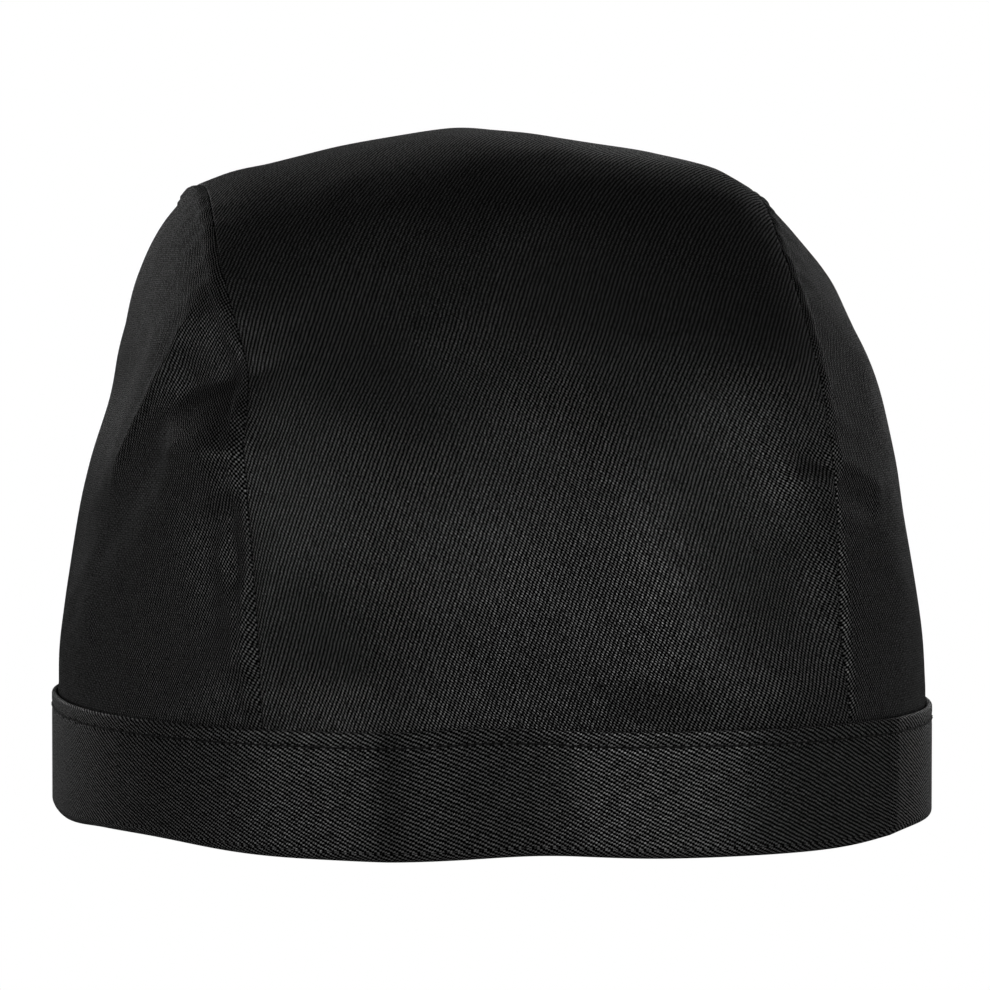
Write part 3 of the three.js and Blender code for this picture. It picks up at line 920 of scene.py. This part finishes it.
def weave_height(tree, place, weave, waves_shown):
    """The twill's height, from 0 to 1: three sets of waves laid over the cloth's own length and width."""
    parts = node(tree, "ShaderNodeSeparateXYZ", {0: place})
    u, v = parts.outputs[0], parts.outputs[1]
    jitter = maths(tree, "MULTIPLY_ADD", noise(tree, place, JITTER_SCALE, 1.0), RIB_WANDER, -RIB_WANDER)
    wander = maths(tree, "MULTIPLY_ADD", noise(tree, place, DRIFT_SCALE, 2.0), RIB_WANDER, jitter)
    rib_across, rib_along, pick_height = weave
    across, along = maths(tree, "DIVIDE", u, rib_across), maths(tree, "DIVIDE", v, rib_along)
    rib = maths(tree, "ADD", maths(tree, "SUBTRACT", across, along), wander)
    pick = maths(tree, "ADD", maths(tree, "DIVIDE", v, pick_height), wander)
    total = None
    for phase, weight in zip((rib, maths(tree, "ADD", rib, pick), pick), waves_shown):
        wave = maths(tree, "COSINE", maths(tree, "MULTIPLY", phase, 2 * math.pi))
        share = maths(tree, "MULTIPLY", wave, -weight)
        total = share if total is None else maths(tree, "ADD", total, share)
    return maths(tree, "MULTIPLY_ADD", total, 0.5, 0.5)


def lit_yarns(tree, place, height):
    """How much of each yarn catches light: its top does, unevenly along it and from speck to speck."""
    raised = node(
        tree,
        "ShaderNodeMapRange",
        {"Value": height, "From Min": YARN_TOPS[0], "From Max": YARN_TOPS[1], "To Min": 0.0, "To Max": 1.0},
        interpolation_type="SMOOTHSTEP",
    ).outputs["Result"]
    yarn_place = node(tree, "ShaderNodeMapping", {"Vector": place, "Scale": YARN_SCALE}).outputs[0]
    yarn = maths(tree, "MULTIPLY_ADD", noise(tree, yarn_place, 1.0, 2.0), *YARN_RANGE)
    speck = maths(tree, "MULTIPLY_ADD", noise(tree, place, SPECK_SCALE, 1.0), *SPECK_RANGE)
    return maths(tree, "MULTIPLY", raised, maths(tree, "MULTIPLY", yarn, speck))


def cloth_material(name, tone, shine, weave, waves_shown):
    """Black twill whose yarns stand up and shine along the cloth's own directions, with painted highlight
    on the yarn tops and painted shade in the pits of its base colour.
    """
    material, tree = new_material(name)
    shader = tree.nodes["Principled BSDF"]
    place = node(tree, "ShaderNodeUVMap", uv_map="cloth").outputs["UV"]
    height = weave_height(tree, place, weave, waves_shown)
    lit = lit_yarns(tree, place, height)
    patch = maths(tree, "MULTIPLY_ADD", noise(tree, place, PATCH_SCALE, 3.0), *PATCH_RANGE)
    # Painted light and shade of the weave: the base colour is painted lighter on the yarn tops where they
    # catch light and painted near black as shade in the pits, times random patches of tone
    painted_weave_light_and_patches = maths(tree, "MULTIPLY", maths(tree, "MULTIPLY_ADD", lit, PAINTED_YARN_LIGHT, PAINTED_PIT_SHADE), patch)
    capped = maths(tree, "MINIMUM", lit, 1.0)
    rough = maths(tree, "MULTIPLY_ADD", capped, ROUGH_YARN - ROUGH_PIT, ROUGH_PIT)
    bump = node(tree, "ShaderNodeBump", {"Height": height, "Strength": 1.0, "Distance": WEAVE_RELIEF})
    tangent = node(tree, "ShaderNodeTangent", direction_type="UV_MAP", uv_map="cloth")
    # Base colour: the cloth's tone with the weave's painted highlight and painted shade
    tree.links.new(grey(tree, maths(tree, "MULTIPLY", painted_weave_light_and_patches, tone)), shader.inputs["Base Color"])
    tree.links.new(rough, shader.inputs["Roughness"])
    tree.links.new(bump.outputs["Normal"], shader.inputs["Normal"])
    tree.links.new(tangent.outputs["Tangent"], shader.inputs["Tangent"])
    tree.links.new(maths(tree, "MULTIPLY", lit, shine), shader.inputs["Specular IOR Level"])
    shader.inputs["Anisotropic"].default_value = ANISOTROPY
    return material


def thread_material():
    material, tree = new_material("sewing_thread")
    shader = tree.nodes["Principled BSDF"]
    place = node(tree, "ShaderNodeTexCoord").outputs["Object"]
    twist = noise(tree, place, THREAD_TWIST_SCALE, 2.0)
    bump = node(tree, "ShaderNodeBump", {"Height": twist, "Strength": 0.4, "Distance": THREAD_RELIEF})
    tone = maths(tree, "MULTIPLY_ADD", twist, *THREAD_TONE)
    tree.links.new(grey(tree, tone), shader.inputs["Base Color"])
    tree.links.new(bump.outputs["Normal"], shader.inputs["Normal"])
    shader.inputs["Roughness"].default_value = THREAD_ROUGHNESS
    shader.inputs["Specular IOR Level"].default_value = THREAD_SHINE
    return material


def add_camera():
    data = bpy.data.cameras.new("camera")
    data.sensor_width = SENSOR_MM
    data.lens = FOCAL_PIXELS / PICTURE_PIXELS * SENSOR_MM
    data.clip_start, data.clip_end = CAMERA_CLIP
    camera = link_new("camera", data)
    sine, cosine = math.sin(CAMERA_TURN), math.cos(CAMERA_TURN)
    camera.location = (
        CAMERA_DISTANCE * sine + CAMERA_ASIDE * cosine,
        -CAMERA_DISTANCE * cosine + CAMERA_ASIDE * sine,
        CAMERA_HEIGHT,
    )
    down = math.atan2(PICTURE_PIXELS / 2 - HORIZON_ROW, FOCAL_PIXELS)
    camera.rotation_euler = (math.pi / 2 - down, 0.0, CAMERA_TURN)
    bpy.context.scene.camera = camera


def add_softbox(name, around, rise, width, height, power):
    data = bpy.data.lights.new(name, "AREA")
    data.shape = "RECTANGLE"
    data.size, data.size_y = width, height
    data.energy = power
    light = link_new(name, data)
    around, rise = math.radians(around), math.radians(rise)
    level = SOFTBOX_DISTANCE * math.cos(rise)
    light.location = (
        SOFTBOX_AIM[0] + level * math.sin(around),
        SOFTBOX_AIM[1] - level * math.cos(around),
        SOFTBOX_AIM[2] + SOFTBOX_DISTANCE * math.sin(rise),
    )
    light.rotation_euler = (math.pi / 2 - rise, 0.0, around)
    light.visible_camera = False


def seen_white(tree, kind, lit):
    """A shader that is plain white to the camera, and otherwise the one given."""
    seen = node(tree, kind, {"Color": (1, 1, 1, 1), "Strength": SEEN_WHITE}).outputs[0]
    looking = node(tree, "ShaderNodeLightPath").outputs["Is Camera Ray"]
    return node(tree, "ShaderNodeMixShader", {0: looking, 1: lit, 2: seen}).outputs[0]


def add_world():
    world = bpy.data.worlds.new("studio")
    bpy.context.scene.world = world
    world.use_nodes = True
    tree = world.node_tree
    tree.nodes.clear()
    lit = node(tree, "ShaderNodeBackground", {"Color": (1, 1, 1, 1), "Strength": WORLD_GLOW}).outputs[0]
    node(tree, "ShaderNodeOutputWorld", {"Surface": seen_white(tree, "ShaderNodeBackground", lit)})


def add_floor():
    """A white floor. It is as white as the surroundings to the camera, and dim as light on the cap."""
    material, tree = new_material("pale_floor")
    tree.nodes.clear()
    colour = (FLOOR_WHITE, FLOOR_WHITE, FLOOR_WHITE, 1.0)
    lit = node(tree, "ShaderNodeBsdfDiffuse", {"Color": colour}).outputs[0]
    node(tree, "ShaderNodeOutputMaterial", {"Surface": seen_white(tree, "ShaderNodeEmission", lit)})
    corners = [(x * FLOOR_HALF, y * FLOOR_HALF, 0) for x, y in ((-1, -1), (1, -1), (1, 1), (-1, 1))]
    mesh = bpy.data.meshes.new("floor")
    mesh.from_pydata(corners, [], [(0, 1, 2, 3)])
    mesh.materials.append(material)
    floor = link_new("floor", mesh)


def set_up_stage():
    add_camera()
    add_world()
    add_floor()
    for softbox in SOFTBOXES:
        add_softbox(*softbox)
    bpy.context.scene.view_settings.view_transform = "Standard"
    bpy.context.scene.view_settings.look = "None"


def main():
    set_up_stage()
    crown_cloth = cloth_material("crown_twill", CROWN_TONE, CROWN_SHINE, CROWN_WEAVE, CROWN_WAVES)
    # The headband's copy of the cloth has a lighter tone: painted light
    band_cloth_painted_lighter = cloth_material("band_twill", BAND_TONE_WITH_PAINTED_LIGHT, BAND_SHINE, BAND_WEAVE, BAND_WAVES)
    thread = thread_material()
    centre = centre_panel(crown_cloth)
    left = side_panel(LEFT, "crown_side_left", crown_cloth)
    right = side_panel(RIGHT, "crown_side_right", crown_cloth)
    band = headband(band_cloth_painted_lighter)
    stitches = band_stitches(thread)
    for piece, replaced in (
        (centre, "centre_panel"),
        (left, "side_panel_left"),
        (right, "side_panel_right"),
        (band, "headband"),
    ):
        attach(piece, "root")
        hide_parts(replaced)
    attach(stitches, "root")


main()
